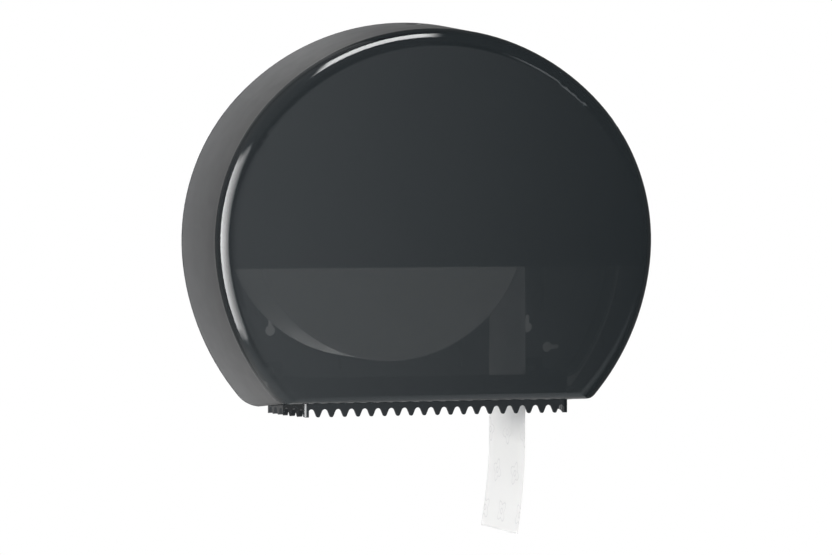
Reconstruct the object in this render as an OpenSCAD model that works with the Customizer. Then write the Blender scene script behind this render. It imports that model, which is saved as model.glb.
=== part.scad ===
// Wall-mounted jumbo toilet roll dispenser, millimetres.
// Face frame: x to the right, y up from the cover's bottom line, z out from the wall.

/* [Cover] */
// radius of the outline's crown arc
crown_r = 219.9; // [215:0.1:224]
// radius of the outline's side arcs
side_r = 185.1; // [181:0.1:189]
// radius of the outline's flank arcs
flank_r = 224.25; // [218:0.05:232]
// radius of the bottom corners
corner_r = 21.49; // [20.5:0.01:24]
// depth of the side wall, rim to crease
side_depth = 92; // [88:1:100]
// depth of the rounded front ring
ring_depth = 15; // [13:0.5:17]
// width of the rounded front ring
ring_width = 16.5; // [15:0.5:17.5]
// rounding of the bottom front lip
lip_r = 6.5; // [5:0.5:8]
// outward draft of the side wall over its depth
side_draft = 8.05; // [6:0.05:9]
// wall thickness of the cover
cover_t = 2.5; // [2:0.1:3]
// height of the see-through part
window_h = 123.6; // [110:1:140]
// thickness of the opaque liner
liner_t = 1.5; // [1.2:0.1:2]

/* [Back plate] */
// depth of the plate behind the cover's rim
base_depth = 23; // [21:0.5:28]
// thickness of the panel
plate_t = 3; // [2.5:0.1:3.5]
// how far the plate's edge sits inside the cover's rim
rim_inset = 6.5; // [5.5:0.1:8]
// half the distance between the wall screw columns
screw_x = 150; // [146:1:154]
// half the distance between the wall screw rows
screw_y = 42; // [38:1:46]
// radius of a wall screw hole
screw_hole_r = 2.75; // [2.25:0.05:3.25]
// radius of a keyhole's round end
keyhole_r = 5; // [4.5:0.1:5.5]

/* [Tear tray] */
// pitch of the teeth
tooth_pitch = 12.7; // [12.3:0.05:12.9]
// radius of a tooth's tip
tip_r = 1.95; // [1.6:0.05:2.1]
// radius of the valley between teeth
valley_r = 2.925; // [2.6:0.025:3.1]
// drop of the tips below the cover
tip_drop = 12.7; // [11.5:0.1:14]
// height of the tray's front wall above the cover's bottom line
tray_rise = 23.4; // [20:0.2:28]
// wall thickness of the tray
tray_t = 2; // [1.8:0.1:2.4]
// radius of its front corners
tray_corner_r = 4.4; // [3.6:0.1:4.8]
// thickness of its side walls
tray_side_t = 4.4; // [3.6:0.1:4.8]

/* [Rolls] */
// outer radius of the full roll
roll_r = 131; // [110:1:132]
// width of the paper
paper_w = 97; // [90:0.5:98]
// inner radius of the roll's core
core_r = 29.5; // [29:0.1:31]
// sideways place of the main hub
hub_x = -46.6; // [-50:0.2:-44]
// height of the main hub
hub_y = 168.9; // [166:0.5:172]
// sideways place of the leftover roll's hub
stub_x = 129; // [127:0.5:132]
// height of the leftover roll's hub
stub_y = 210; // [206:1:216]
// length of paper hanging below the cover
tail_drop = 125; // [60:1:200]

/* [Hinge and lock] */
// radius of the hinge pins
pin_r = 2; // [1.6:0.1:2.4]
// radius of the lock barrel
barrel_r = 6; // [5:0.1:6.5]
// distance of the lock from the wall
lock_z = 48; // [45:0.5:54]

/* [Hidden] */
$fn = 96;
slip = 0.06;
gap = 0.3;
origin_y = 170;
crease_z = base_depth + side_depth;
front_z = crease_z + ring_depth;
// directions in which the outline's arcs meet, as whole-number sides of right triangles
crown_joint = [21, 20];
flank_joint = [144, -17];
corner_joint = [105, -88];
ring_joint = [21, -20];
plate_joint = [153, -104];
down = [0, -1];
function along(v, r) = v * r / norm(v);
corner_c = [(crown_r - side_r) * crown_joint.x / norm(crown_joint)
            + (side_r - flank_r) * flank_joint.x / norm(flank_joint)
            + (flank_r - corner_r) * corner_joint.x / norm(corner_joint), corner_r];
flank_c = corner_c - along(corner_joint, flank_r - corner_r);
side_c = flank_c - along(flank_joint, side_r - flank_r);
crown_c = side_c - along(crown_joint, crown_r - side_r);
crown_y = crown_c.y + crown_r;
// the ring's own, lower outline, trimmed by the lip
ring_r = (ring_width * ring_width + ring_depth * ring_depth) / (2 * ring_depth);
ring_corner_r = corner_r + 5.56;
ring_c = flank_c + along(ring_joint, flank_r - ring_corner_r);
ring_over = 0.06;
chamfer = 8.5;
// width of the bands that follow the outline
band = corner_r - 1.5;
// how far the side wall stands out at depth z
function draft_at(z) = side_draft * (crease_z - z) / side_depth;
// outer surface of a bottom corner below x
function corner_floor(x, z) = corner_r - sqrt(pow(corner_r + draft_at(z), 2) - pow(x - corner_c.x, 2));
plate_off = side_draft - rim_inset;
// the plate's outline stops short of the cover's bottom
plate_c = flank_c + along(plate_joint, flank_r - corner_r);
plate_bottom = plate_c.y - corner_r - plate_off;
edge_t = 3;
edge_z = base_depth + 6;
slot_r = 2.2;
slot_run = 10;
// upright keyholes of the right half, mirrored on the left, and the lying one
keyholes = [[127.5, 62], [108, crown_y - 85]];
lying_keyhole = [147.5, 42.8];
// small screws: shank, its pilot hole and its clearance hole
shank_r = 2;
pilot_r = shank_r + 0.05;
clear_r = shank_r + 0.2;
head_h = 2.4;
tooth_n = 20;
side_tooth_n = 6;
// a tooth's flank: run 5, fall 12
flank_n = [12, 5] / 13;
flank_fall = (tooth_pitch / 2 - (valley_r + tip_r) * flank_n.x) * flank_n.x / flank_n.y;
tooth_h = (valley_r + tip_r) * (1 - flank_n.y) + flank_fall;
tip_y = -tip_drop;
valley_y = tip_y + tooth_h;
tray_z = front_z - 10.8;
tray_half = tooth_n * tooth_pitch / 2;
// the side walls lean outwards in two straight runs
side_run = side_tooth_n / 2 * tooth_pitch;
front_lean = [7, 24] / 25;
back_lean = [17, 144] / 145;
bend = [tray_half, tray_z - tray_t] + side_run * [front_lean.x, -front_lean.y];
tray_back_x = bend.x + side_run * back_lean.x;
tray_back_z = bend.y - side_run * back_lean.y;
foot_y = plate_bottom + 1.5;
foot_h = 16;
foot_t = 3;
tray_screw_x = tray_back_x - 12;
tray_screw_y = foot_y + foot_h / 2;
// the corner's round stands 0.15 mm out of the walls
tray_corner_c = [tray_half - tray_corner_r + 0.5, tray_z - tray_corner_r + 0.15];
corner_in = 24;
corner_out = 22;
chute_half = tray_back_x + 2.5;
hinge_y = 4;
hinge_z = 15;
knuckle_r = 5;
lug_x = chute_half + 3.5;
lug_t = 5;
ear_x = lug_x + lug_t + 0.6;
ear_t = 4.5;
ear_z = base_depth + 27;
axle_r = 6;
axle_z = 91;
axle_boss_r = 16;
axle_boss_h = 14;
end_screw_r = 3;
washer_t = 1.2;
roll_z = base_depth + 2;
hub_z = roll_z - 0.5;
hub_t = 2.5;
hub_sleeve_r = core_r - gap;
core_t = 2;
hub_end = roll_z + 62;
hub_tube_t = 3.5;
hub_web_z = hub_z + 34;
spoke_t = 2;
flange_t = 3;
hub_flange_r = hub_sleeve_r + 13.6;
tail_t = 0.5;
tail_x = hub_x + roll_r + tail_t / 2 + 0.3;
tail_z = tray_z - tray_t - 0.5 - paper_w;
brake_y = hub_y - hub_flange_r - 28;
leaf_t = 0.8;
leaf_w = 12;
leaf_l = 34;
pad_r = 5;
pad_t = 1.8;
pad_z = hub_z - flange_t - pad_t - gap;
leaf_z = pad_z - leaf_t;
lock_case_r = barrel_r + 3;
lock_boss_r = lock_case_r + 5;
lock_top = crown_y + draft_at(lock_z + lock_boss_r) - 0.6;
lock_boss_bottom = lock_top - 11;
lock_case_bottom = lock_boss_bottom - 4;
barrel_bottom = lock_case_bottom - 14;
cam_t = 2.4;
cam_reach = 17.5;
cam_w = 10;
cam_bottom = barrel_bottom - cam_t;
strike_x = 25;
strike_t = 3;
strike_h = 16;
strike_y = cam_bottom + cam_t / 2 - strike_h / 2;
strike_z = lock_z + cam_w / 2 + 2;
strike_foot = 20;
strike_lip_x = 11;
strike_screw_x = strike_x + 12;
strike_screw_rows = [4, strike_h - 4];

// face frame to the part's frame: wall plane at Y 0, wall mount at the origin
module wall_frame() {
  translate([0, 0, -origin_y]) rotate([90, 0, 0]) children();
}

module both_sides() {
  for (s = [0, 1]) mirror([s, 0, 0]) children();
}

// a far point from c in direction v
function far(v) = round(600 / norm(v)) * v;

// points at radius r about c, from direction v0 towards v1 in n steps
function fan(c, r, v0, v1, n) =
  let (a0 = atan2(v0.y, v0.x), turn = atan2(v1.y, v1.x) - a0)
  [for (i = [0:n - 1]) c + r * [cos(a0 + turn * i / n), sin(a0 + turn * i / n)]];

// what is turned about c, kept between two directions
module arc(c, v0, v1) {
  intersection() {
    translate([c.x, c.y, 0]) rotate_extrude() children();
    translate([0, 0, -50]) linear_extrude(300)
      polygon([c, c + far(v0), c + far(v0) + far(v1), c + far(v1)]);
  }
}

// round bar along the face frame's y
module upright(x, y, z, r, h) {
  translate([x, y, z]) rotate([-90, 0, 0]) cylinder(h = h, r = r);
}

// sections of a band along the outline: x is the distance from an arc's centre, y that from the wall
module wall_section(r) {
  polygon([[r - band, base_depth], [r + side_draft, base_depth], [r, crease_z], [r - band, crease_z]]);
}

module rounded_section(r, width, round_r) {
  translate([r - band, crease_z]) square([band - width, ring_depth]);
  intersection() {
    translate([r - width, front_z - round_r]) circle(r = round_r);
    translate([r - width, crease_z]) square([width + 1, ring_depth]);
  }
}

module lip_section(r) {
  rounded_section(r, lip_r, lip_r);
  translate([r - band, crease_z]) square([band, ring_depth - lip_r]);
}

module cavity_section(r, inset) {
  in = cover_t + inset;
  polygon([[r - band, base_depth - 2], [r + draft_at(base_depth - 2) - in, base_depth - 2],
           [r - in, crease_z], [r - in - chamfer, front_z - in], [r - band, front_z - in]]);
}

module section(kind, r, inset) {
  if (kind == "wall") wall_section(r);
  if (kind == "ring") rounded_section(r + ring_over, ring_width, ring_r);
  if (kind == "lip") lip_section(r);
  if (kind == "cavity") cavity_section(r, inset);
  if (kind == "edge") translate([r - band, 0]) square([band + plate_off, edge_z]);
  if (kind == "inside") translate([r - band, plate_t]) square([band + plate_off - edge_t, edge_z]);
}

// a solid with the cover's outline and one of the sections
module outline_solid(kind, z0, z1, low_c, low_r, low_joint, inset = 0) {
  arc(crown_c, crown_joint, [-crown_joint.x, crown_joint.y]) section(kind, crown_r, inset);
  both_sides() {
    arc(side_c, flank_joint, crown_joint) section(kind, side_r, inset);
    arc(flank_c, low_joint, flank_joint) section(kind, flank_r, inset);
    arc(low_c, down, low_joint) section(kind, low_r, inset);
  }
  translate([-low_c.x, low_c.y, 0]) rotate([90, 0, 90]) linear_extrude(2 * low_c.x)
    mirror([1, 0]) section(kind, low_r, inset);
  // the middle, its corners inside the bands and clear of their rounded fronts
  in = ring_width + 0.3;
  right = concat(fan(low_c, low_r - in, down, low_joint, 4), fan(flank_c, flank_r - in, low_joint, flank_joint, 4),
                 fan(side_c, side_r - in, flank_joint, crown_joint, 5),
                 fan(crown_c, crown_r - in, crown_joint, -down, 5));
  n = len(right) - 1;
  translate([0, 0, z0]) linear_extrude(z1 - z0)
    polygon(concat(right, [for (i = [n:-1:0]) [-right[i].x, right[i].y]]));
}

module cover_solid(kind, z0, z1, inset = 0) {
  outline_solid(kind, z0, z1, corner_c, corner_r, corner_joint, inset);
}

module cavity(inset) {
  cover_solid("cavity", base_depth - 2, front_z - cover_t - inset, inset);
}

// bar and bore along x at the hinge axis
module hinge_bar(x, r, h) {
  translate([x, hinge_y, hinge_z]) rotate([0, 90, 0]) cylinder(h = h, r = r);
}

// plate across x, its outline given as [distance from the wall, height]
module side_plate(x, t, points) {
  translate([x, 0, 0]) rotate([0, 90, 0]) linear_extrude(t) mirror([1, 0]) polygon(points);
}

module hinge_ear() {
  floor_x = ear_x + ear_t;
  difference() {
    union() {
      hinge_bar(ear_x, knuckle_r, ear_t);
      side_plate(ear_x, ear_t, [[hinge_z - 1, hinge_y + knuckle_r - 1], [ear_z, hinge_y + 2],
        [ear_z, corner_floor(floor_x, ear_z) + 0.1],
        [base_depth + 1, corner_floor(floor_x, base_depth + 1) + 0.1],
        [hinge_z - 1, hinge_y - knuckle_r + 1]]);
    }
    hinge_bar(ear_x - 1, pin_r + slip, ear_t + 2);
  }
}

module cover_outer() {
  cover_solid("wall", base_depth, crease_z);
  intersection() {
    outline_solid("ring", crease_z, front_z, ring_c, ring_corner_r, ring_joint);
    cover_solid("lip", crease_z, front_z);
  }
}

module cover_shell() {
  color([0.12, 0.13, 0.14, 0.6]) wall_frame() {
    difference() {
      difference() {
        cover_outer();
        difference() {
          cavity(0);
          upright(0, lock_boss_bottom, lock_z, lock_boss_r, 30);
        }
      }
      // the paper leaves through the open floor
      translate([-chute_half, -20, base_depth - 2])
        cube([2 * chute_half, 32, front_z - lip_r - base_depth + 1.5]);
      upright(0, lock_boss_bottom - 1, lock_z, lock_case_r, 40);
    }
    both_sides() hinge_ear();
  }
}

module upper_liner() {
  color([0.05, 0.05, 0.055]) wall_frame() difference() {
    cavity(0.2);
    cavity(0.2 + liner_t);
    translate([-300, -50, 0]) cube([600, 50 + window_h, 200]);
    translate([-300, -50, 0]) cube([600, 600, base_depth + 1.5]);
    upright(0, lock_boss_bottom - 40, lock_z, lock_boss_r + 1.5, 80);
  }
}

module keyhole(p, turn) {
  translate([p.x, p.y, -1]) rotate([0, 0, turn]) {
    cylinder(h = plate_t + 2, r = keyhole_r);
    translate([0, slot_run, 0]) cylinder(h = plate_t + 2, r = slot_r);
    translate([-slot_r, 0, 0]) cube([2 * slot_r, slot_run, plate_t + 2]);
  }
}

module hinge_lug() {
  difference() {
    union() {
      hinge_bar(lug_x, knuckle_r, lug_t);
      side_plate(lug_x, lug_t, [[hinge_z + 1, hinge_y + knuckle_r - 1], [0.5, plate_bottom + 8],
        [0.5, hinge_y - 1], [hinge_z + 1, hinge_y - knuckle_r + 1]]);
      translate([lug_x - 8, hinge_y - 1.5, 0]) cube([9 + lug_t, plate_bottom - hinge_y + 5, plate_t - 0.5]);
    }
    hinge_bar(lug_x - 1, pin_r + 0.02, lug_t + 2);
  }
}

// stiffening rib up the plate
module rib(x, y0, y1, h) {
  translate([x - 1, y0, plate_t - 1]) cube([2, y1 - y0, h + 1]);
}

module plate_solid(kind, z0, z1) {
  outline_solid(kind, z0, z1, plate_c, corner_r, plate_joint);
}

module plate_blank() {
  difference() {
    plate_solid("edge", 0, edge_z);
    plate_solid("inside", plate_t, plate_t + edge_z);
  }
}

module back_plate() {
  screw_rows = [origin_y - screw_y, origin_y + screw_y];
  axles = [[hub_x, hub_y], [stub_x, stub_y]];
  color([0.08, 0.085, 0.09]) wall_frame() {
    difference() {
      union() {
        plate_blank();
        both_sides() {
          rib(59.7, plate_bottom + 4, 52, 8);
          rib(141.4, 77, 150, 10);
          rib(100, 230, 290, 8);
        }
        for (p = axles) translate([p.x, p.y, 0]) cylinder(h = plate_t + axle_boss_h, r = axle_boss_r);
        translate([hub_x, brake_y, 0]) cylinder(h = leaf_z, r = leaf_w / 2 + 1);
      }
      for (p = axles) translate([p.x, p.y, -1]) cylinder(h = 60, r = axle_r + 0.02);
      both_sides() {
        for (k = keyholes) keyhole(k, 0);
        for (y = screw_rows) translate([screw_x, y, -1]) cylinder(h = 20, r = screw_hole_r);
        translate([tray_screw_x, tray_screw_y, -1]) cylinder(h = 20, r = pilot_r);
      }
      keyhole(lying_keyhole, -90);
      // room for the paper and the tray in the bottom edge
      translate([-tray_back_x, 0, plate_t]) cube([2 * tray_back_x, plate_bottom + 10, edge_z]);
      translate([hub_x, brake_y, -1]) cylinder(h = 40, r = pilot_r);
      for (y = strike_screw_rows)
        translate([strike_screw_x, strike_y + y, -1]) cylinder(h = 20, r = pilot_r);
    }
    both_sides() hinge_lug();
  }
}

// one pitch of the serrated edge, valley in the middle
module tooth_cell() {
  half = tooth_pitch / 2;
  vy = valley_y - valley_r;
  ty = tip_y + tip_r;
  v = valley_r * flank_n;
  t = tip_r * flank_n;
  difference() {
    polygon([[-half, valley_y + 1], [-half, ty], [t.x - half, ty - t.y], [-v.x, vy + v.y],
             [v.x, vy + v.y], [half - t.x, ty - t.y], [half, ty], [half, valley_y + 1]]);
    translate([0, vy]) circle(r = valley_r);
  }
  for (s = [-1, 1]) intersection() {
    translate([s * half, ty]) circle(r = tip_r);
    translate([-half, tip_y - 1]) square([tooth_pitch, tip_r + 1]);
  }
}

// straight run of n teeth with its wall, from x 0
module tooth_row(n, top, t) {
  linear_extrude(t) {
    for (i = [0:n - 1]) translate([(i + 0.5) * tooth_pitch, 0]) tooth_cell();
    translate([0, valley_y + 0.5]) square([n * tooth_pitch, top - valley_y - 0.5]);
  }
}

// wall that leaves p for the wall, leaning outwards
module leaning_wall(p, lean) {
  m = [[lean.x, 0, lean.y, p.x], [0, 1, 0, 0], [-lean.y, 0, lean.x, p.y], [0, 0, 0, 1]];
  multmatrix(m) mirror([0, 0, 1]) tooth_row(side_tooth_n / 2, tray_rise, tray_side_t);
}

// right side wall of the tray
module tray_side() {
  // each run starts a little inside the one before it
  start = [-0.4, 0.6];
  leaning_wall([tray_half, tray_z - tray_t] + start, front_lean);
  leaning_wall(bend + 2 * start, back_lean);
}

module tray_foot() {
  foot_w = 2 * (tray_back_x - tray_screw_x);
  translate([tray_back_x - foot_w, foot_y, plate_t + 0.2]) {
    difference() {
      cube([foot_w - 1, foot_h, foot_t]);
      translate([foot_w / 2, foot_h / 2, -1]) cylinder(h = 20, r = clear_r);
    }
    translate([foot_w - tray_side_t + 0.6, 0, 0])
      cube([tray_side_t - 1.2, tray_rise - foot_y, tray_back_z - plate_t + 3]);
  }
}

// round wall of a front corner
module tray_corner() {
  c = tray_corner_c;
  difference() {
    upright(c.x, tip_y + 0.6, c.y, tray_corner_r, tray_rise - tip_y - 0.6);
    upright(c.x, tip_y - 1, c.y, tray_corner_r - tray_t - 0.15, tray_rise - tip_y + 2);
    translate([c.x - 10, -50, c.y - 10]) cube([10, 100, 20]);
    translate([c.x - 10, -50, c.y - 10]) cube([20, 100, 10]);
  }
}

// what the walls lose outside that round
module corner_cut() {
  c = tray_corner_c;
  difference() {
    translate([c.x, -50, c.y]) cube([10, 100, 10]);
    upright(c.x, -60, c.y, tray_corner_r, 120);
  }
}

module tear_tray() {
  color([0.07, 0.075, 0.08]) wall_frame() {
    difference() {
      union() {
        translate([-tray_half, 0, tray_z - tray_t]) tooth_row(tooth_n, tray_rise, tray_t);
        both_sides() tray_side();
      }
      both_sides() corner_cut();
    }
    both_sides() {
      tray_foot();
      tray_corner();
      // stiffening corner
      translate([0, tray_rise - 9, tray_z - tray_t]) rotate([-90, 0, 0]) linear_extrude(tray_t)
        polygon([[tray_half - corner_in, 0], [tray_half - 1, 0], [tray_half + 3, corner_out]]);
    }
  }
}

// small screw whose head lies on z
module screw(x, y, z, head_r, shaft) {
  translate([x, y, z]) {
    cylinder(h = head_h, r = head_r);
    translate([0, 0, -shaft]) cylinder(h = shaft + 1, r = shank_r);
  }
}

module tray_screws() {
  color([0.7, 0.71, 0.72]) wall_frame() both_sides()
    screw(tray_screw_x, tray_screw_y, plate_t + foot_t + 0.3, 2 * shank_r, plate_t + 3);
}

module hinge_pins() {
  color([0.75, 0.76, 0.77]) wall_frame() both_sides() {
    translate([lug_x - 0.8, hinge_y, hinge_z]) rotate([0, 90, 0])
      cylinder(h = lug_t + ear_t + 2.4, r = pin_r);
    translate([lug_x - 1.8, hinge_y, hinge_z]) rotate([0, 90, 0]) cylinder(h = 1.6, r = pin_r + 1.5);
  }
}

module axle(x, y) {
  translate([x, y, 0.5]) difference() {
    cylinder(h = axle_z - 0.5, r = axle_r);
    translate([0, 0, axle_z - 16]) cylinder(h = 20, r = end_screw_r + 0.05);
  }
}

module main_axle() {
  color([0.76, 0.77, 0.78]) wall_frame() axle(hub_x, hub_y);
}

module stub_axle() {
  color([0.76, 0.77, 0.78]) wall_frame() axle(stub_x, stub_y);
}

module hub(x, y) {
  bore = axle_r + slip;
  translate([x, y, 0]) {
    rotate_extrude() {
      translate([bore, hub_z - 5]) square([hub_tube_t, axle_z - gap - hub_z + 5]);
      translate([bore, hub_web_z]) square([hub_sleeve_r - bore, flange_t]);
      translate([hub_sleeve_r - hub_t, hub_z - flange_t])
        square([hub_t, hub_end - hub_z + flange_t]);
      translate([hub_sleeve_r - hub_t, hub_z - flange_t])
        square([hub_flange_r - hub_sleeve_r + hub_t, flange_t]);
    }
    for (a = [0:60:300]) rotate([0, 0, a]) translate([bore + 2, -spoke_t / 2, hub_z])
      cube([hub_sleeve_r - bore - hub_tube_t, spoke_t, hub_web_z - hub_z + 0.5]);
  }
}

module core_hub() {
  color([0.13, 0.13, 0.14]) wall_frame() hub(hub_x, hub_y);
}

module stub_hub() {
  color([0.13, 0.13, 0.14]) wall_frame() hub(stub_x, stub_y);
}

module on_axles() {
  translate([hub_x, hub_y, axle_z]) children();
  translate([stub_x, stub_y, axle_z]) children();
}

module axle_washers() {
  color([0.78, 0.79, 0.8]) wall_frame() on_axles() difference() {
    cylinder(h = washer_t, r = 3 * end_screw_r);
    translate([0, 0, -1]) cylinder(h = 4, r = end_screw_r + 0.2);
  }
}

module axle_screws() {
  color([0.72, 0.73, 0.74]) wall_frame() on_axles() {
    translate([0, 0, washer_t]) cylinder(h = 3.4, r = 5.5);
    translate([0, 0, -12]) cylinder(h = 12 + washer_t + 1, r = end_screw_r);
  }
}

module brake_leaf() {
  color([0.7, 0.71, 0.73]) wall_frame() translate([hub_x, brake_y, leaf_z]) difference() {
    union() {
      translate([-leaf_w / 2, 0, 0]) cube([leaf_w, leaf_l, leaf_t]);
      cylinder(h = leaf_t, r = leaf_w / 2);
    }
    translate([0, 0, -1]) cylinder(h = 4, r = clear_r);
  }
}

module brake_pad() {
  color([0.16, 0.16, 0.16]) wall_frame()
    translate([hub_x, brake_y + leaf_l - 3, pad_z]) cylinder(h = pad_t, r = pad_r);
}

module brake_screw() {
  color([0.72, 0.73, 0.74]) wall_frame()
    screw(hub_x, brake_y, pad_z, 2 * shank_r, 12);
}

module lock_case() {
  color([0.1, 0.1, 0.11]) wall_frame() difference() {
    union() {
      upright(0, lock_case_bottom, lock_z, lock_case_r - 0.05, lock_top - lock_case_bottom);
      upright(0, lock_case_bottom, lock_z, lock_boss_r - 1.5, 3.9);
    }
    upright(0, lock_case_bottom - 1, lock_z, barrel_r + slip, 40);
  }
}

module lock_barrel() {
  color([0.78, 0.79, 0.8]) wall_frame() difference() {
    upright(0, barrel_bottom, lock_z, barrel_r, lock_top - 0.6 - barrel_bottom);
    upright(0, barrel_bottom - 1, lock_z, pilot_r, 10);
    translate([-3.5, lock_top - 5, lock_z - 0.9]) cube([7, 6, 1.8]);
  }
}

module lock_cam() {
  color([0.74, 0.75, 0.76]) wall_frame() difference() {
    union() {
      upright(0, cam_bottom, lock_z, barrel_r + 1, cam_t - 0.05);
      translate([-cam_w / 2, cam_bottom, lock_z - cam_reach]) cube([cam_w, cam_t - 0.05, cam_reach]);
    }
    upright(0, cam_bottom - 1, lock_z, shank_r + 0.1, 10);
  }
}

module cam_screw() {
  color([0.72, 0.73, 0.74]) wall_frame() {
    upright(0, cam_bottom - head_h, lock_z, 2 * shank_r, head_h - 0.05);
    upright(0, cam_bottom - 1, lock_z, shank_r, 9);
  }
}

module strike_hook() {
  color([0.72, 0.73, 0.74]) wall_frame() translate([0, strike_y, 0]) difference() {
    union() {
      translate([strike_x, 0, plate_t + 0.1])
        cube([strike_t, strike_h, strike_z - plate_t + strike_t - 0.1]);
      translate([strike_lip_x, 0, strike_z]) cube([strike_x - strike_lip_x + 1, strike_h, strike_t]);
      translate([strike_x, 0, plate_t + 0.1]) cube([strike_foot, strike_h, strike_t]);
    }
    for (y = strike_screw_rows) translate([strike_screw_x, y, 0]) cylinder(h = 20, r = clear_r);
  }
}

module strike_screws() {
  color([0.72, 0.73, 0.74]) wall_frame() for (y = strike_screw_rows)
    screw(strike_screw_x, strike_y + y, plate_t + strike_t + 0.2, 1.8 * shank_r, plate_t + 3);
}

module ring_solid(r0, r1) {
  translate([hub_x, hub_y, roll_z]) difference() {
    cylinder(h = paper_w, r = r1);
    translate([0, 0, -1]) cylinder(h = paper_w + 2, r = r0);
  }
}

module roll_core() {
  color([0.72, 0.6, 0.44]) wall_frame() ring_solid(core_r, core_r + core_t);
}

module paper_roll() {
  color([0.95, 0.95, 0.94]) wall_frame() ring_solid(core_r + core_t + 0.05, roll_r);
}

module paper_tail() {
  color([0.96, 0.96, 0.95]) wall_frame()
    translate([tail_x - tail_t / 2, -tail_drop, tail_z]) cube([tail_t, tail_drop + hub_y, paper_w]);
}

back_plate();
tear_tray();
tray_screws();
cover_shell();
upper_liner();
hinge_pins();
main_axle();
stub_axle();
core_hub();
stub_hub();
axle_washers();
axle_screws();
brake_leaf();
brake_pad();
brake_screw();
lock_case();
lock_barrel();
lock_cam();
cam_screw();
strike_hook();
strike_screws();
roll_core();
paper_roll();
paper_tail();
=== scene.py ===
import math
import bpy
import bmesh
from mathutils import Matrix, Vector


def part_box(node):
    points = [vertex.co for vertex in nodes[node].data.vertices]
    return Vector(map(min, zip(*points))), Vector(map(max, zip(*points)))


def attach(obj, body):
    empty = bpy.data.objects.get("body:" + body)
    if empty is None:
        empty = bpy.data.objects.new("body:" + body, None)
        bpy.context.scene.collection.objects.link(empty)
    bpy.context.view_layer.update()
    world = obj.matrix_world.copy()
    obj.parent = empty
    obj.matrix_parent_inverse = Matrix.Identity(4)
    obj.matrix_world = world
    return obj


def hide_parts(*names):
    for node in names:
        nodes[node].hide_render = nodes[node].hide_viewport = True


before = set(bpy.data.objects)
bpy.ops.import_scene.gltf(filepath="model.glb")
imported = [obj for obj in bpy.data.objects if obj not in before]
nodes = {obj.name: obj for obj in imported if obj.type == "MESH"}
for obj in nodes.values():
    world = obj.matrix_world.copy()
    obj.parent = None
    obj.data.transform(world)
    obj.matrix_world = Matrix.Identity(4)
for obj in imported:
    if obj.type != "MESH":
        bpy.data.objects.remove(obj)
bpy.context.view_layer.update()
print("frame loaded")

# metres: x is to the right, y away from the viewer with the wall at 0, and z up
rollLow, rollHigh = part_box("paper_roll")
tailLow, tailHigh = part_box("paper_tail")
rollAxis = ((rollLow[0] + rollHigh[0]) / 2, (rollLow[2] + rollHigh[2]) / 2)  # x and z
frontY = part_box("cover_shell")[0][1]
creaseY = frontY + 0.015  # the rounded edge ends here and the side wall begins


# helpers that add shader nodes
def feed(nt, socket, value):
    # an output is linked to the socket, anything else becomes its fixed value
    if isinstance(value, bpy.types.NodeSocket):
        nt.links.new(value, socket)
    else:
        socket.default_value = value


def put(nt, kind, operation=None, **sockets):
    # i0, i1 and so on give an input by its number, any other key by its name
    n = nt.nodes.new("ShaderNode" + kind)
    if operation:
        n.operation = operation
    for key, value in sockets.items():
        numbered = key[0] == "i" and key[1:].isdigit()
        place = int(key[1:]) if numbered else key.replace("_", " ")
        feed(nt, n.inputs[place], value)
    return n


def newMaterial(name, rough=0.5, color=(0.5, 0.5, 0.5), **sockets):
    mat = bpy.data.materials.new(name)
    mat.use_nodes = True
    bsdf = mat.node_tree.nodes["Principled BSDF"]
    bsdf.inputs["Roughness"].default_value = rough
    bsdf.inputs["Base Color"].default_value = (*color, 1)
    for key, value in sockets.items():
        bsdf.inputs[key.replace("_", " ")].default_value = value
    return mat, mat.node_tree, bsdf


def objectCoords(nt):
    return put(nt, "TexCoord").outputs["Object"]


def calc(nt, operation, a, b=0.0):
    return put(nt, "Math", operation, i0=a, i1=b).outputs[0]


def plus(nt, total, *others):
    for other in others:
        total = calc(nt, "ADD", total, other)
    return total


def times(nt, product, *others):
    for other in others:
        product = calc(nt, "MULTIPLY", product, other)
    return product


def minus(nt, a, b):
    return calc(nt, "SUBTRACT", a, b)


def unsigned(nt, value):
    return calc(nt, "ABSOLUTE", value)


def radiusOf(nt, a, b):
    return calc(nt, "SQRT", plus(nt, times(nt, a, a), times(nt, b, b)))


def ramp(nt, value, low, high, toLow=0.0, toHigh=1.0):
    # straight from toLow to toHigh as the value goes from low to high, and level outside
    return put(nt, "MapRange", i0=value, i1=low, i2=high, i3=toLow, i4=toHigh).outputs[0]


def spread(nt, value, toLow, toHigh, margin=0.2):
    # noise seldom comes near 0 or 1, so what lies between the margins takes up the whole range
    return ramp(nt, value, margin, 1 - margin, toLow, toHigh)


def smooth(nt, value, low, high, toLow=0.0, toHigh=1.0):
    # as ramp, with soft ends
    n = put(nt, "MapRange", i0=value, i1=low, i2=high, i3=toLow, i4=toHigh)
    n.interpolation_type = "SMOOTHSTEP"
    return n.outputs[0]


def window(nt, value, low, high, edge):
    # 1 between low and high, 0 outside
    opens = smooth(nt, value, low - edge, low + edge)
    return times(nt, opens, smooth(nt, value, high + edge, high - edge))


def blend(nt, fac, a, b):
    return put(nt, "Mix", i0=fac, i2=a, i3=b).outputs[0]


def blendColor(nt, fac, a, b):
    n = nt.nodes.new("ShaderNodeMix")
    n.data_type = "RGBA"
    feed(nt, n.inputs[0], fac)
    for socket, value in ((n.inputs[6], a), (n.inputs[7], b)):
        feed(nt, socket, value if isinstance(value, bpy.types.NodeSocket) else (*value, 1))
    return n.outputs[2]


def noise(nt, scale, detail=3.0, vector=None):
    n = put(nt, "TexNoise", Vector=vector or objectCoords(nt), Scale=scale, Detail=detail)
    return n.outputs["Fac"]


def stretched(nt, scale):
    return put(nt, "Mapping", Vector=objectCoords(nt), Scale=scale).outputs[0]


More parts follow.
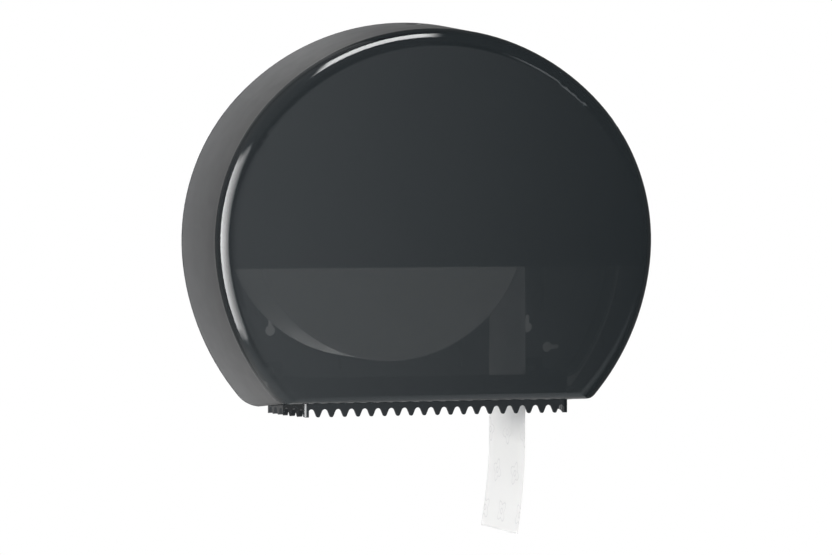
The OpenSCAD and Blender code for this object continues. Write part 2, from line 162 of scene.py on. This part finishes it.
def bump(nt, bsdf, height, distance, strength):
    n = put(nt, "Bump", Height=height, Distance=distance, Strength=strength)
    nt.links.new(n.outputs[0], bsdf.inputs["Normal"])


def paint(nodeNames, mat):
    for name in nodeNames:
        slots = nodes[name].data.materials
        slots.clear()
        slots.append(mat)


# the cover's plastic; an alpha counts for one surface, and the eye looks through two
smoke = {"color": (0.012, 0.0155, 0.0175), "cloud": (0.02, 0.024, 0.026), "cloudShare": 0.12,
         "alpha": 0.83, "edgeAlpha": 0.86, "edgeFrom": 0.003, "edgeFade": 0.0015,
         "polish": 0.035, "polishSpread": 0.01, "creaseHalf": 0.0006,
         "wallFrontPaintedShade": (0.004, 0.0044, 0.005), "wallRearPaintedLight": (0.047, 0.049, 0.052), "wallRearY": -0.02,
         "satin": 0.34, "satinSpread": 0.03, "rimY": -0.026, "rimFade": 0.0006, "rimRough": 0.95}


def smokedPlastic():
    # the face and its rounded edge are polished and let light through, the side wall is satin and opaque
    mat, nt, bsdf = newMaterial("smokedPlastic", IOR=1.5)
    y = put(nt, "SeparateXYZ", i0=objectCoords(nt)).outputs[1]
    behind = ramp(nt, y, creaseY - smoke["creaseHalf"], creaseY + smoke["creaseHalf"])
    # the rounded edge is a little denser, from behind the face's inner surface on
    edgeY = frontY + smoke["edgeFrom"]
    clear = ramp(nt, y, edgeY, edgeY + smoke["edgeFade"], smoke["alpha"], smoke["edgeAlpha"])
    nt.links.new(blend(nt, behind, clear, 1.0), bsdf.inputs["Alpha"])
    # painted light: the side wall's colour pales toward the back, standing in for the light that shines
    # through the thin plastic there
    cloud = noise(nt, scale=9.0, detail=2.0)
    wall = blendColor(nt, ramp(nt, y, creaseY, smoke["wallRearY"]), smoke["wallFrontPaintedShade"], smoke["wallRearPaintedLight"])
    tone = blendColor(nt, behind, smoke["color"], wall)
    cloudy = spread(nt, cloud, 0.0, smoke["cloudShare"], margin=0.3)
    nt.links.new(blendColor(nt, cloudy, tone, smoke["cloud"]), bsdf.inputs["Base Color"])
    # a matt strip ends the side wall
    polish = spread(nt, cloud, smoke["polish"], smoke["polish"] + smoke["polishSpread"])
    satin = spread(nt, noise(nt, scale=60.0, detail=4.0),
                   smoke["satin"] - smoke["satinSpread"], smoke["satin"] + smoke["satinSpread"])
    rim = ramp(nt, y, smoke["rimY"], smoke["rimY"] + smoke["rimFade"])
    satin = blend(nt, rim, satin, smoke["rimRough"])
    nt.links.new(blend(nt, behind, polish, satin), bsdf.inputs["Roughness"])
    grain = times(nt, noise(nt, scale=1500.0, detail=2.0), behind)
    bump(nt, bsdf, grain, distance=0.00002, strength=0.5)
    return mat


plastics = {"linerPlastic": {"color": (0.008, 0.009, 0.010), "rough": 0.6},
            "framePlastic": {"color": (0.10, 0.105, 0.11), "rough": 0.45},
            "trayPlastic": {"color": (0.005, 0.007, 0.0085), "rough": 0.2, "grain": 700.0, "depth": 0.00001},
            "hubPlastic": {"color": (0.03, 0.03, 0.032), "rough": 0.4},
            "padRubber": {"color": (0.018, 0.018, 0.018), "rough": 0.78, "grain": 500.0, "depth": 0.0001}}


def mouldedPlastic(name, color, rough, grain=900.0, depth=0.00004):
    # fine spark-eroded grain with a faint cloud in the colour
    mat, nt, bsdf = newMaterial(name, IOR=1.5)
    lighter = tuple(c * 1.25 for c in color)
    nt.links.new(blendColor(nt, noise(nt, scale=14.0), color, lighter), bsdf.inputs["Base Color"])
    worn = spread(nt, noise(nt, scale=120.0, detail=4.0), rough - 0.05, rough + 0.05, margin=0.25)
    nt.links.new(worn, bsdf.inputs["Roughness"])
    bump(nt, bsdf, noise(nt, scale=grain, detail=2.0), distance=depth, strength=0.6)
    return mat


# along is the axis that the lines follow: 0 for x, 1 for y, 2 for z
metals = {"turnedSteel": {"color": (0.62, 0.63, 0.65), "rough": 0.3, "along": 1},
          "zincSteel": {"color": (0.60, 0.61, 0.62), "rough": 0.35, "along": 0},
          "rolledSteel": {"color": (0.52, 0.53, 0.54), "rough": 0.38, "along": 2},
          "lockMetal": {"color": (0.75, 0.75, 0.76), "rough": 0.15, "along": 2}}


def brushedMetal(name, color, rough, along):
    # fine lines along one axis, as turning or rolling leaves them
    mat, nt, bsdf = newMaterial(name, Metallic=1.0)
    scale = tuple(12.0 if axis == along else 900.0 for axis in range(3))
    streak = noise(nt, scale=1.0, detail=4.0, vector=stretched(nt, scale))
    darker = tuple(c * 0.8 for c in color)
    nt.links.new(blendColor(nt, streak, darker, color), bsdf.inputs["Base Color"])
    nt.links.new(spread(nt, streak, rough - 0.07, rough + 0.07), bsdf.inputs["Roughness"])
    bump(nt, bsdf, streak, distance=0.00001, strength=0.5)
    return mat


board = {"dark": (0.30, 0.21, 0.12), "light": (0.46, 0.35, 0.23), "rough": (0.75, 0.95)}


def cardboard():
    mat, nt, bsdf = newMaterial("coreBoard")
    fibre = noise(nt, scale=300.0, detail=6.0)
    nt.links.new(blendColor(nt, fibre, board["dark"], board["light"]), bsdf.inputs["Base Color"])
    nt.links.new(spread(nt, fibre, *board["rough"]), bsdf.inputs["Roughness"])
    bump(nt, bsdf, fibre, distance=0.0001, strength=0.6)
    return mat


woundTissue = {"light": (0.76, 0.76, 0.75), "shade": (0.62, 0.62, 0.61), "rough": (0.85, 0.98),
               "endPaintedShade": 0.74, "endFade": (0.0004, 0.0009),
               "layers": 2800.0, "layerShare": 0.2, "bands": 420.0, "wobble": 0.004}


def rollPaper():
    # wound layers show as fine rings on the roll's flat sides
    mat, nt, bsdf = newMaterial("woundTissue", Sheen_Weight=0.15, Sheen_Roughness=0.6)
    x, y, z = put(nt, "SeparateXYZ", i0=objectCoords(nt)).outputs
    radius = radiusOf(nt, minus(nt, x, rollAxis[0]), minus(nt, z, rollAxis[1]))
    ringed = plus(nt, radius, times(nt, noise(nt, scale=18.0), woundTissue["wobble"]))
    layers = calc(nt, "SINE", times(nt, ringed, woundTissue["layers"]))
    outward = put(nt, "CombineXYZ", i0=times(nt, ringed, woundTissue["bands"])).outputs[0]
    bands = noise(nt, scale=1.0, detail=4.0, vector=outward)
    mixed = plus(nt, times(nt, layers, woundTissue["layerShare"]), bands)
    tone = ramp(nt, mixed, 0.2, 0.9)
    # painted shade: the front side, and the few millimetres that stand out in front of the sheet, are made
    # greyer than the rest, standing in for the shade the cover casts inside
    tread = blendColor(nt, tone, woundTissue["shade"], woundTissue["light"])
    paintedShadeTones = [tuple(c * woundTissue["endPaintedShade"] for c in woundTissue[key]) for key in ("shade", "light")]
    end = blendColor(nt, tone, *paintedShadeTones)
    middle = (tailLow[1] + tailHigh[1]) / 2
    inside = minus(nt, (tailHigh[1] - tailLow[1]) / 2, unsigned(nt, minus(nt, y, middle)))
    onTread = ramp(nt, inside, *woundTissue["endFade"])
    nt.links.new(blendColor(nt, onTread, end, tread), bsdf.inputs["Base Color"])
    dry = spread(nt, noise(nt, scale=200.0), *woundTissue["rough"])
    nt.links.new(dry, bsdf.inputs["Roughness"])
    bump(nt, bsdf, mixed, distance=0.0003, strength=0.7)
    return mat


def plastic(name):
    return mouldedPlastic(name, **plastics[name])


def metal(name):
    return brushedMetal(name, **metals[name])


print("materials")
paint(["cover_shell"], smokedPlastic())
paint(["upper_liner", "lock_case"], plastic("linerPlastic"))
paint(["back_plate"], plastic("framePlastic"))
paint(["tear_tray"], plastic("trayPlastic"))
paint(["core_hub", "stub_hub"], plastic("hubPlastic"))
paint(["main_axle", "stub_axle"], metal("turnedSteel"))
paint(["tray_screws", "axle_screws", "axle_washers", "brake_screw", "cam_screw", "strike_screws",
       "hinge_pins"], metal("zincSteel"))
paint(["brake_leaf", "strike_hook", "lock_cam"], metal("rolledSteel"))
paint(["lock_barrel"], metal("lockMetal"))
paint(["brake_pad"], plastic("padRubber"))
paint(["roll_core"], cardboard())
paint(["paper_roll"], rollPaper())


# the hanging sheet runs down beside the roll, bows a little and swings to the left near its torn end
tail = {"rows": 150, "columns": 40, "thickness": 0.00025, "fromAxis": 0.1315,
        "bow": 0.0012, "bowBend": 2.6, "swing": 0.0072, "swingFrom": 0.74, "swingCurve": 1.5,
        "lean": 0.0030, "leanRate": 2.2, "ripple": 0.00035, "rippleAcross": 9.0, "rippleDown": 7.0,
        "torn": 0.0002, "tornWaves": 23.0, "tornShare": 0.03}


def tailX(across, down):
    # across is 0 at the front edge and 1 at the rear one, down is 0 at the top and 1 at the torn end
    swung = max(0.0, (down - tail["swingFrom"]) / (1 - tail["swingFrom"]))
    front = rollAxis[0] + tail["fromAxis"] + tail["bow"] * math.sin(down * tail["bowBend"])
    front -= tail["swing"] * swung ** tail["swingCurve"]
    lean = tail["lean"] * min(1.0, down * tail["leanRate"])
    wave = math.sin(across * tail["rippleAcross"] + down * tail["rippleDown"])
    return front - lean * across + tail["ripple"] * wave * down


def tailRow(bm, down):
    # one line of points across the sheet; the torn end isn't quite straight
    z = tailHigh[2] + (tailLow[2] - tailHigh[2]) * down
    torn = max(0.0, down - (1 - tail["tornShare"])) / tail["tornShare"]
    row = []
    for j in range(tail["columns"] + 1):
        across = j / tail["columns"]
        y = tailLow[1] + (tailHigh[1] - tailLow[1]) * across
        sag = tail["torn"] * math.sin(across * tail["tornWaves"]) * torn
        row.append(bm.verts.new((tailX(across, down), y, z + sag)))
    return row


def hangingTissue():
    bm = bmesh.new()
    uv = bm.loops.layers.uv.new("sheet")
    grid = [tailRow(bm, i / tail["rows"]) for i in range(tail["rows"] + 1)]
    for upper, lower in zip(grid, grid[1:]):
        for j in range(tail["columns"]):
            f = bm.faces.new((upper[j], upper[j + 1], lower[j + 1], lower[j]))
            f.smooth = True
            for loop in f.loops:
                co = loop.vert.co
                loop[uv].uv = (co.y - tailHigh[1], co.z - tailLow[2])
    mesh = bpy.data.meshes.new("hangingTissue")
    bm.to_mesh(mesh)
    bm.free()
    obj = bpy.data.objects.new("hangingTissue", mesh)
    bpy.context.scene.collection.objects.link(obj)
    solid = obj.modifiers.new("ply", "SOLIDIFY")
    solid.thickness = tail["thickness"]
    solid.offset = 0.0
    return obj


# lengths of the embossed pattern are in metres
softTissue = {"paper": (0.84, 0.84, 0.835), "shade": (0.47, 0.48, 0.49), "emboss": (0.71, 0.71, 0.715),
              "rough": (0.88, 0.96), "cellWide": 0.046, "cellHigh": 0.037, "shift": 0.5, "turn": 0.5,
              "motif": 0.0085, "lobes": 4.0, "lobeShare": 0.28, "heartShare": 0.3,
              "lineIn": 0.0003, "lineOut": 0.0010, "heartOut": 0.0009,
              "crepe": (900.0, 900.0, 2600.0), "crepeShare": 0.25,
              "shadeZ": (-0.212, -0.180), "shadeY": (-0.03, -0.08, 0.1, 1.0), "shadeMottle": (0.7, 1.0)}


def rosettes(nt, y, z):
    # four-lobed outlines, each with a small ring in it, in staggered rows
    row = calc(nt, "DIVIDE", z, softTissue["cellHigh"])
    rowIndex = calc(nt, "FLOOR", row)
    shift = times(nt, calc(nt, "PINGPONG", rowIndex, 1.0), softTissue["shift"])
    column = plus(nt, calc(nt, "DIVIDE", y, softTissue["cellWide"]), shift)
    u = times(nt, minus(nt, calc(nt, "FRACT", column), 0.5), softTissue["cellWide"])
    v = times(nt, minus(nt, calc(nt, "FRACT", row), 0.5), softTissue["cellHigh"])
    radius = radiusOf(nt, u, v)
    angle = plus(nt, calc(nt, "ARCTAN2", v, u), times(nt, rowIndex, softTissue["turn"]))
    petals = calc(nt, "COSINE", times(nt, angle, softTissue["lobes"]))
    edge = plus(nt, softTissue["motif"], times(nt, petals, softTissue["motif"] * softTissue["lobeShare"]))
    fromEdge = unsigned(nt, minus(nt, edge, radius))
    outline = ramp(nt, fromEdge, softTissue["lineIn"], softTissue["lineOut"], 1.0, 0.0)
    fromHeart = unsigned(nt, minus(nt, radius, softTissue["motif"] * softTissue["heartShare"]))
    heart = ramp(nt, fromHeart, softTissue["lineIn"], softTissue["heartOut"], 1.0, 0.0)
    return calc(nt, "MAXIMUM", outline, heart)


def tissuePaper():
    # soft crepe paper with an embossed pattern
    mat, nt, bsdf = newMaterial("tissuePaper", Sheen_Weight=0.2, Sheen_Roughness=0.5)
    y, z = put(nt, "SeparateXYZ", i0=objectCoords(nt)).outputs[1:]
    motif = rosettes(nt, y, z)
    crepe = noise(nt, scale=1.0, vector=stretched(nt, softTissue["crepe"]))
    # painted shade: greyer in the case and just below its teeth, most of all toward the front, where the
    # case's shadow falls
    shadeMottle = spread(nt, noise(nt, scale=40.0, detail=2.0), *softTissue["shadeMottle"], margin=0.35)
    paintedShade = times(nt, ramp(nt, z, *softTissue["shadeZ"]), ramp(nt, y, *softTissue["shadeY"]), shadeMottle)
    sheet = blendColor(nt, paintedShade, softTissue["paper"], softTissue["shade"])
    nt.links.new(blendColor(nt, motif, sheet, softTissue["emboss"]), bsdf.inputs["Base Color"])
    nt.links.new(spread(nt, crepe, *softTissue["rough"]), bsdf.inputs["Roughness"])
    height = minus(nt, times(nt, crepe, softTissue["crepeShare"]), motif)
    bump(nt, bsdf, height, distance=0.00025, strength=0.6)
    return mat


print("hanging tissue")
tissue = hangingTissue()
tissue.data.materials.append(tissuePaper())
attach(tissue, "tail")
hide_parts("paper_tail")


# the floor, what the lamps point at, and the radiance that each part of the world gives
studio = {"floorZ": -1.25, "floorSize": 30, "paper": (0.86, 0.86, 0.855), "aim": (0, -0.08, 0),
          "fill": 1.0, "overhead": 17.0, "spark": 2.0, "wall": 0.22, "deep": 1.3, "behind": (1.5, 0.2),
          "tint": (0.94, 1.0, 1.04)}
# what gloss mirrors: radiance by azimuth in degrees, where 0 is in front and 90 on the right
panel = [(-92, 0.0), (-90.5, 19.6), (-84, 19.6), (-69, 14.1), (-57, 10.1), (-45, 5.8), (-36, 2.6),
         (-32.5, 0.0)]
screen = [(-30, 0.0), (-21, 0.16), (-9, 0.36), (3, 0.58), (14.5, 0.9), (21.2, 0.0)]
# the room level with the part, above it and below it
horizon = [(-180, 0.72), (-152, 0.75), (-146, 0.26), (-118, 0.35), (-33, 0.4), (14, 0.25), (20, 0.08),
           (30, 0.14), (105, 0.1), (166, 0.14), (173, 0.68), (180, 0.72)]
heights = [(-180, 0.45), (-150, 0.4), (-130, 0.3), (-100, 0.6), (-20, 0.5), (5, 0.3), (25, 0.18),
           (105, 0.08), (180, 0.08)]
depths = [(-180, 0.5), (-174, 0.45), (-167, 0.9), (-155, 0.95), (-140, 0.3), (-110, 0.5), (-20, 0.75),
          (14, 1.2), (30, 0.9), (60, 0.12), (150, 0.14), (166, 0.2), (174, 0.5), (180, 0.5)]
# where each light starts and ends, by the x, y or z of the ray's direction, its turn or its slope
span = {"levelZ": (0.57, 0.3), "belowZ": (0.0, -0.1), "leastX": 0.05,
        "panelSlope": (-0.72, 0.84, 0.05), "panelZ": (0.57, 0.45), "panelFade": (0.0, 0.5, 1.0, 0.6),
        "glowZ": (-0.08, -0.22), "glowTurn": (0.42, 0.46), "deepZ": (-0.45, -0.7), "deepX": (0.75, 0.4),
        "wallY": (0.78, 0.9), "wallZ": (0.0, 0.14), "wallX": (0.0, 0.31, 0.06), "screenZ": (0.22, 0.04),
        "overheadX": (-0.27, 0.27, 0.05), "overheadY": (-0.50, -0.08, 0.03), "overheadZ": (0.3, 0.35),
        "sparkTurn": (0.567, 0.583, 0.003), "sparkZ": (0.18, 0.27, 0.02), "behindX": (0.315, 0.34),
        "tintY": (-0.2, 0.2, 1.0, 0.0), "tintLight": (1.5, 4.0, 1.0, 0.0)}


def paleFloor():
    # white to the eye, pale paper to light, and not mirrored
    bpy.ops.mesh.primitive_plane_add(size=studio["floorSize"], location=(0, 0, studio["floorZ"]))
    floor = bpy.context.object
    floor.name = "studioFloor"
    mat, nt, bsdf = newMaterial("studioFloor", rough=0.9, color=studio["paper"])
    white = put(nt, "Emission", Color=(1, 1, 1, 1), Strength=1.0)
    seen = put(nt, "LightPath").outputs["Is Camera Ray"]
    both = put(nt, "MixShader", i0=seen, i1=bsdf.outputs[0], i2=white.outputs[0])
    nt.links.new(both.outputs[0], nt.nodes["Material Output"].inputs[0])
    floor.data.materials.append(mat)
    floor.visible_glossy = False


def levels(nt, turn, stops):
    # radiance by azimuth; turn goes from 0 right behind the part, past its left, front and right side, to 1
    n = put(nt, "ValToRGB", Fac=turn)
    elements = n.color_ramp.elements
    top = max(level for _, level in stops)
    for i, (azimuth, level) in enumerate(stops):
        place = (azimuth + 180) / 360
        e = elements[i] if i < 2 else elements.new(place)
        e.position = place
        e.color = (level / top, level / top, level / top, 1)
    return times(nt, n.outputs["Color"], top)


def mirroredRoom(nt, x, y, z):
    # the room's own light, and a tall panel on the left
    turn = ramp(nt, calc(nt, "ARCTAN2", x, times(nt, y, -1.0)), -math.pi, math.pi)
    height = unsigned(nt, z)
    far = blend(nt, smooth(nt, z, *span["belowZ"]), levels(nt, turn, heights), levels(nt, turn, depths))
    room = blend(nt, smooth(nt, height, *span["levelZ"]), far, levels(nt, turn, horizon))
    slope = calc(nt, "DIVIDE", z, calc(nt, "MAXIMUM", unsigned(nt, x), span["leastX"]))
    lit = times(nt, window(nt, slope, *span["panelSlope"]), smooth(nt, height, *span["panelZ"]),
                ramp(nt, height, *span["panelFade"]))
    room = plus(nt, room, times(nt, lit, levels(nt, turn, panel)))
    # the floor's glow reaches higher in front and on the right, and has one strength far below
    glow = times(nt, smooth(nt, z, *span["glowZ"]), ramp(nt, turn, *span["glowTurn"]))
    room = blend(nt, glow, room, levels(nt, turn, depths))
    deep = times(nt, smooth(nt, z, *span["deepZ"]), smooth(nt, x, *span["deepX"]))
    room = blend(nt, deep, room, studio["deep"])
    # a patch of the wall behind glows, above the part and to its right
    wall = times(nt, smooth(nt, y, *span["wallY"]), smooth(nt, z, *span["wallZ"]),
                 window(nt, x, *span["wallX"]))
    room = plus(nt, room, times(nt, wall, studio["wall"]))
    # a pale screen in front, a bright panel overhead and a small spark in front on the right
    front = times(nt, smooth(nt, height, *span["screenZ"]), levels(nt, turn, screen))
    overhead = times(nt, window(nt, x, *span["overheadX"]), window(nt, y, *span["overheadY"]),
                     ramp(nt, z, *span["overheadZ"], 0.0, studio["overhead"]))
    spark = times(nt, window(nt, turn, *span["sparkTurn"]), window(nt, z, *span["sparkZ"]))
    return plus(nt, room, front, overhead, times(nt, spark, studio["spark"]))


def softWorld():
    # white to the eye and to matt surfaces, while gloss mirrors the room
    world = bpy.data.worlds.new("studio")
    bpy.context.scene.world = world
    world.use_nodes = True
    nt = world.node_tree
    back = nt.nodes["Background"]
    x, y, z = put(nt, "SeparateXYZ", i0=put(nt, "TexCoord").outputs["Generated"]).outputs
    mirrored = mirroredRoom(nt, x, y, z)
    path = put(nt, "LightPath")
    glossy = blend(nt, path.outputs["Is Glossy Ray"], studio["fill"], mirrored)
    # seen through the smoked plastic, the space behind the part darkens to the right
    through = calc(nt, "GREATER_THAN", path.outputs["Transparent Depth"], 0.5)
    eye = blend(nt, through, 1.0, smooth(nt, x, *span["behindX"], *studio["behind"]))
    nt.links.new(blend(nt, path.outputs["Is Camera Ray"], glossy, eye), back.inputs["Strength"])
    # what is mirrored from the front is a little cooler, apart from the bright panels
    cool = times(nt, ramp(nt, y, *span["tintY"]), ramp(nt, mirrored, *span["tintLight"]),
                 path.outputs["Is Glossy Ray"])
    nt.links.new(blendColor(nt, cool, (1.0, 1.0, 1.0), studio["tint"]), back.inputs["Color"])


# azimuth as above, elevation in degrees above the horizon, size in metres
lamps = {"keyLight": {"azimuth": 20, "elevation": 40, "size": (2.0, 1.6), "radiance": 1.6},
         "sideLight": {"azimuth": -75, "elevation": -5, "size": (2.0, 2.0), "radiance": 0.9}}
lowLamp = {"azimuth": 103, "elevation": -53, "size": (0.9, 0.5), "radiance": 70.0, "distance": 1.1}


def softLight(name, azimuth, elevation, size, radiance, distance=3.0):
    a, e = math.radians(azimuth), math.radians(elevation)
    way = Vector((math.sin(a) * math.cos(e), -math.cos(a) * math.cos(e), math.sin(e)))
    data = bpy.data.lights.new(name, "AREA")
    data.shape = "RECTANGLE"
    data.size, data.size_y = size
    data.energy = radiance * math.pi * size[0] * size[1]
    lamp = bpy.data.objects.new(name, data)
    bpy.context.scene.collection.objects.link(lamp)
    lamp.location = Vector(studio["aim"]) + way * distance
    lamp.rotation_euler = way.to_track_quat("Z", "Y").to_euler()
    lamp.visible_camera = False
    lamp.visible_glossy = False
    return lamp


def lightRoll():
    # only the roll takes the low lamp's light, so that its tread shows below its flat side
    rollOnly = bpy.data.collections.new("rollOnly")
    rollOnly.objects.link(nodes["paper_roll"])
    lowLight = softLight("lowLight", **lowLamp)
    lowLight.light_linking.receiver_collection = rollOnly
    lowLight.light_linking.blocker_collection = rollOnly
    nodes["paper_roll"].visible_diffuse = False  # that light isn't passed on to the tissue


# focal length and picture width in pixels
view = {"yaw": -17.371, "pitch": 1.721, "distance": 3.6522, "target": (-0.009605, -0.083, -0.0570),
        "focal": 3939.5, "wide": 832, "sensor": 36.0}


def camera():
    yaw, pitch = math.radians(view["yaw"]), math.radians(view["pitch"])
    ahead = Vector((-math.sin(yaw) * math.cos(pitch), math.cos(yaw) * math.cos(pitch), -math.sin(pitch)))
    data = bpy.data.cameras.new("camera")
    data.sensor_width = view["sensor"]
    data.lens = view["focal"] / view["wide"] * view["sensor"]
    cam = bpy.data.objects.new("camera", data)
    bpy.context.scene.collection.objects.link(cam)
    cam.location = Vector(view["target"]) - ahead * view["distance"]
    cam.rotation_euler = ahead.to_track_quat("-Z", "Y").to_euler()
    bpy.context.scene.camera = cam


print("floor, light and camera")
paleFloor()
softWorld()
for name, lamp in lamps.items():
    softLight(name, **lamp)
lightRoll()
for name in ("cover_shell", "upper_liner"):
    nodes[name].visible_shadow = False  # the smoked plastic lets the light in to the roll
    nodes[name].visible_diffuse = False
camera()
bpy.context.scene.view_settings.view_transform = "Standard"
